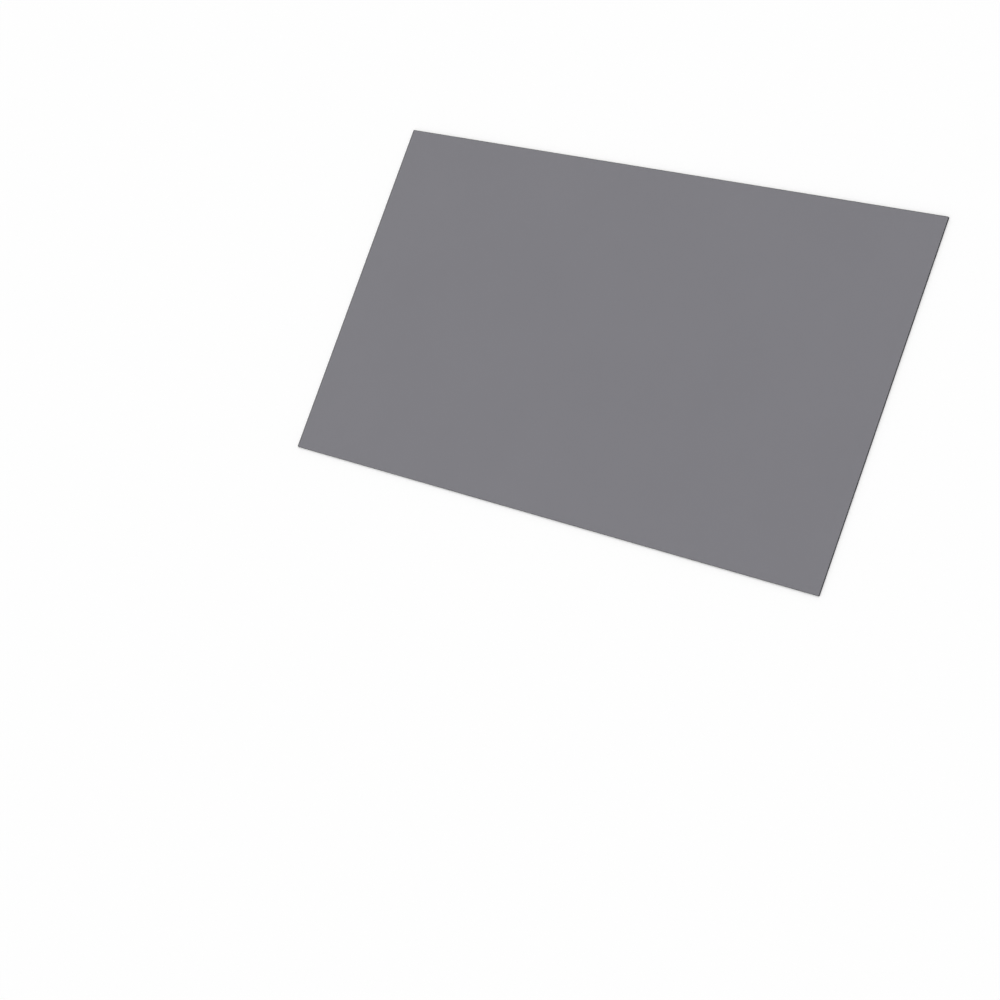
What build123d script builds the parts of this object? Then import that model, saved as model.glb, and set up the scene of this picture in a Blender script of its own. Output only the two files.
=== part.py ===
"""Laptop privacy filter: one flat sheet of tinted film, cut to the 15.6 inch 16:9 size.

The sheet lies on its back face. The origin is the middle of that face, +X runs along the width, +Y towards
the edge that is uppermost in use and +Z out of the viewing face.
"""

import os

from build123d import *

# Driving dimensions, in millimetres

SHEET_WIDTH = 344.0  # along the long edges
SHEET_HEIGHT = 194.0  # along the short edges
SHEET_THICKNESS = 0.8  # over both hard-coated faces
CORNER_RADIUS = 0.5  # left by the steel rule at each corner of the cut
EDGE_BREAK = 0.1  # bevel that takes the burr off both rims of the cut edge


def cut_outline():
    """The outline that the cutting rule leaves: a rectangle with small round corners."""
    return RectangleRounded(SHEET_WIDTH, SHEET_HEIGHT, CORNER_RADIUS)


def filter_sheet():
    """The whole filter: the cut outline at the sheet's thickness, with both rims of its edge broken."""
    blank = extrude(cut_outline(), amount=SHEET_THICKNESS)
    back_face = blank.faces().sort_by(Axis.Z)[0]
    viewing_face = blank.faces().sort_by(Axis.Z)[-1]
    rims = back_face.edges() + viewing_face.edges()
    return chamfer(rims, EDGE_BREAK)


os.makedirs("parts", exist_ok=True)
export_step(filter_sheet(), "parts/filter_sheet.step")
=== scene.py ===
"""Laptop privacy filter: the tinted sheet with its finishes, lying on a white table in a white room."""

import math

import bmesh
import bpy
from mathutils import Matrix, Vector

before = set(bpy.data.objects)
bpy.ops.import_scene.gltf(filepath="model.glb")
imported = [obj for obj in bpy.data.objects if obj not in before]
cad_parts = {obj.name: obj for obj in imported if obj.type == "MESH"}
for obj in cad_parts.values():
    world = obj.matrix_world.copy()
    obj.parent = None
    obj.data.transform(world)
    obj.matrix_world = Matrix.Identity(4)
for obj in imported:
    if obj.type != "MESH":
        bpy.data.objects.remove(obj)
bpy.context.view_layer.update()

# The filter is one flat sheet of tinted polyester, hard-coated on both faces and cut out with a steel rule.
# Nothing is fixed to it: it lies loose on its back face, with its viewing face up.

MM = 0.001
LEVEL = 0.99  # the two broad faces are level; the cut edge and its bevels lean more than this
FILM_SLOT, EDGE_SLOT = 0, 1
MIX_FACTOR, MIX_FROM, MIX_TO, MIX_RESULT = 0, 6, 7, 2  # a Mix node's sockets when it blends colours

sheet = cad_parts["filter_sheet"]


def linear(hex_colour):
    """An sRGB colour such as 7B7A80 as linear red, green and blue, with full alpha."""
    channels = [int(hex_colour[i:i + 2], 16) / 255 for i in (0, 2, 4)]
    return (*[c / 12.92 if c <= 0.04045 else ((c + 0.055) / 1.055) ** 2.4 for c in channels], 1.0)


def add_node(tree, kind, inputs, **settings):
    """Add a shader node with its settings, and give each input a value or the output of another node."""
    node = tree.nodes.new("ShaderNode" + kind)
    for name, value in settings.items():
        setattr(node, name, value)
    for name, value in inputs.items():
        if isinstance(value, bpy.types.NodeSocket):
            tree.links.new(value, node.inputs[name])
        else:
            node.inputs[name].default_value = value
    return node


def new_material(name):
    """A material with an empty node tree."""
    material = bpy.data.materials.new(name)
    material.use_nodes = True
    material.node_tree.nodes.clear()
    return material


def tinted_film():
    """Polyester film, tinted in the mass, under a satin hard coat: the eye looks through an even grey with a
    breath of violet, and sees a soft sheen on it. The tint drifts a little from place to place, the coat is
    a little duller in patches, and the face keeps the slow waves of a drawn film."""
    thin_tint, deep_tint = linear("7B7A80"), linear("78777D")
    tint_cloud = 55 * MM
    coat_patch = 12 * MM
    glossy, dull = 0.12, 0.16
    film_wave, wave_height = 28 * MM, 0.008 * MM
    film_ior = 1.5  # between the hard coat and the polyester under it
    seen_through = 0.89  # the rest is a faint haze in the film

    material = new_material("hard-coated tinted polyester")
    tree = material.node_tree
    place = add_node(tree, "TexCoord", {}).outputs["Object"]
    clouds = add_node(tree, "TexNoise", {"Vector": place, "Scale": 1 / tint_cloud, "Detail": 2.0})
    tint = add_node(
        tree,
        "Mix",
        {MIX_FACTOR: clouds.outputs["Fac"], MIX_FROM: thin_tint, MIX_TO: deep_tint},
        data_type="RGBA",
    )
    patches = add_node(tree, "TexNoise", {"Vector": place, "Scale": 1 / coat_patch, "Detail": 3.0})
    coat = add_node(tree, "MapRange", {"Value": patches.outputs["Fac"], "To Min": glossy, "To Max": dull})
    waves = add_node(tree, "TexNoise", {"Vector": place, "Scale": 1 / film_wave, "Detail": 0.0})
    face = add_node(tree, "Bump", {"Height": waves.outputs["Fac"], "Distance": wave_height})
    film = add_node(
        tree,
        "BsdfPrincipled",
        {
            "Base Color": tint.outputs[MIX_RESULT],
            "Roughness": coat.outputs["Result"],
            "IOR": film_ior,
            "Transmission Weight": seen_through,
            "Normal": face.outputs["Normal"],
        },
    )
    add_node(tree, "OutputMaterial", {"Surface": film.outputs["BSDF"]})
    return material


def cut_edge():
    """The cut through the film, where no light comes through to the eye: near black and dull, with the fine
    upright scratches that the steel rule leaves. Their grooves are painted darker and their ridges lighter,
    as painted shade that follows the scratches' relief."""
    # painted shade: the darker colour goes in the scratches' grooves and the lighter one on their ridges
    lit_ridge, shaded_groove = linear("161618"), linear("0E0E10")
    scratch = 0.4 * MM  # from one to the next along the edge; the real ones are finer
    scratch_depth = 0.01 * MM
    scratch_stretch = (1.0, 1.0, 0.05)  # drawn out along Z, so that they stand upright
    smooth, rough = 0.45, 0.65
    edge_gloss = 0.02  # a smooth surface has 0.5, and the cut one hardly mirrors at all

    material = new_material("rule-cut polyester")
    tree = material.node_tree
    place = add_node(tree, "TexCoord", {}).outputs["Object"]
    upright = add_node(tree, "Mapping", {"Vector": place, "Scale": scratch_stretch})
    scratches = add_node(
        tree, "TexNoise", {"Vector": upright.outputs["Vector"], "Scale": 1 / scratch, "Detail": 2.0}
    )
    # painted shade in the grooves: the colour follows the same noise as the bump's height
    painted_groove_shade = add_node(
        tree,
        "Mix",
        {MIX_FACTOR: scratches.outputs["Fac"], MIX_FROM: shaded_groove, MIX_TO: lit_ridge},
        data_type="RGBA",
    )
    wear = add_node(tree, "MapRange", {"Value": scratches.outputs["Fac"], "To Min": rough, "To Max": smooth})
    scored = add_node(tree, "Bump", {"Height": scratches.outputs["Fac"], "Distance": scratch_depth})
    edge = add_node(
        tree,
        "BsdfPrincipled",
        {
            "Base Color": painted_groove_shade.outputs[MIX_RESULT],
            "Roughness": wear.outputs["Result"],
            "Specular IOR Level": edge_gloss,
            "Normal": scored.outputs["Normal"],
        },
    )
    add_node(tree, "OutputMaterial", {"Surface": edge.outputs["BSDF"]})
    return material


sheet.data.materials.clear()
sheet.data.materials.append(tinted_film())
sheet.data.materials.append(cut_edge())
for face in sheet.data.polygons:
    face.material_index = FILM_SLOT if abs(face.normal.z) > LEVEL else EDGE_SLOT

# The table is a wide white board, painted matt. The sheet lies on it with a hair of air between, as a loose
# sheet does. What is seen through the sheet or mirrored in it is the same white as the room.

TABLE_RADIUS = 8.0
TABLE_SIDES = 96
AIR_GAP = 0.1 * MM


def mirrored_or_through(tree, rays):
    """1 for what is mirrored in the sheet or seen through it, and 0 for what is seen or lit directly."""
    either = add_node(
        tree,
        "Math",
        {0: rays.outputs["Is Glossy Ray"], 1: rays.outputs["Is Transmission Ray"]},
        operation="MAXIMUM",
    )
    return either.outputs["Value"]


def white_board():
    """Matt white paint: near white and even, so that the sheet's soft shadow is all that shows on it."""
    material = new_material("matt white paint")
    tree = material.node_tree
    rays = add_node(tree, "LightPath", {})
    paint = add_node(tree, "BsdfDiffuse", {"Color": linear("FDFDFD")})
    white = add_node(tree, "Emission", {"Color": linear("FFFFFF"), "Strength": 1.0})
    board = add_node(
        tree,
        "MixShader",
        {0: mirrored_or_through(tree, rays), 1: paint.outputs["BSDF"], 2: white.outputs["Emission"]},
    )
    add_node(tree, "OutputMaterial", {"Surface": board.outputs["Shader"]})
    return material


disc = bmesh.new()
bmesh.ops.create_circle(disc, cap_ends=True, segments=TABLE_SIDES, radius=TABLE_RADIUS)
table_mesh = bpy.data.meshes.new("table")
disc.to_mesh(table_mesh)
disc.free()
table_mesh.materials.append(white_board())
table = bpy.data.objects.new("table", table_mesh)
table.location.z = -AIR_GAP
bpy.context.scene.collection.objects.link(table)

# The light comes mostly from the white room itself. One broad soft lamp, high up towards the sheet's upper
# right corner, adds the rest and gives the shadow a side.

ROOM_LIGHT = 0.71  # what the room adds on the table, as a share of white
LAMP_LIGHT = 0.30  # what the lamp adds
LAMP_DIRECTION = Vector((0.25, 0.4, 0.88)).normalized()
LAMP_BREADTH = math.radians(70.0)

room = bpy.data.worlds.new("white room")
room.use_nodes = True
room_tree = room.node_tree
room_tree.nodes.clear()
room_rays = add_node(room_tree, "LightPath", {})
seen = add_node(
    room_tree,
    "Math",
    {0: mirrored_or_through(room_tree, room_rays), 1: room_rays.outputs["Is Camera Ray"]},
    operation="MAXIMUM",
)
strength = add_node(room_tree, "MapRange", {"Value": seen.outputs["Value"], "To Min": ROOM_LIGHT})
walls = add_node(
    room_tree, "Background", {"Color": linear("FFFFFF"), "Strength": strength.outputs["Result"]}
)
add_node(room_tree, "OutputWorld", {"Surface": walls.outputs["Background"]})
bpy.context.scene.world = room

lamp_light = bpy.data.lights.new("soft lamp", "SUN")
lamp_light.angle = LAMP_BREADTH
lamp_light.energy = LAMP_LIGHT * math.pi / LAMP_DIRECTION.z
lamp = bpy.data.objects.new("soft lamp", lamp_light)
lamp.rotation_euler = (-LAMP_DIRECTION).to_track_quat("-Z", "Y").to_euler()
bpy.context.scene.collection.objects.link(lamp)

# The camera looks down on the sheet from its right, as far off square as the photograph does, and is turned
# about its own axis so that the sheet's upper edge is at the top of the picture.

LENS = 80.0  # in millimetres, as is the sensor's width
SENSOR = 36.0
AIM_POINT = Vector((-25.18 * MM, -94.59 * MM, 0.0))  # on the table, at the middle of the picture
AIM_DISTANCE = 1171.22 * MM
AZIMUTH = math.radians(81.653)
ELEVATION = math.radians(52.983)
ROLL = math.radians(-63.642)

towards_camera = Vector((
    math.sin(AZIMUTH) * math.cos(ELEVATION),
    -math.cos(AZIMUTH) * math.cos(ELEVATION),
    math.sin(ELEVATION),
))
level_view = (-towards_camera).to_track_quat("-Z", "Y").to_matrix()
camera_data = bpy.data.cameras.new("camera")
camera_data.lens = LENS
camera_data.sensor_width = SENSOR
camera = bpy.data.objects.new("camera", camera_data)
camera.location = AIM_POINT + towards_camera * AIM_DISTANCE
camera.rotation_euler = (level_view @ Matrix.Rotation(ROLL, 3, "Z")).to_euler()
bpy.context.scene.collection.objects.link(camera)
bpy.context.scene.camera = camera
bpy.context.scene.view_settings.view_transform = "Standard"
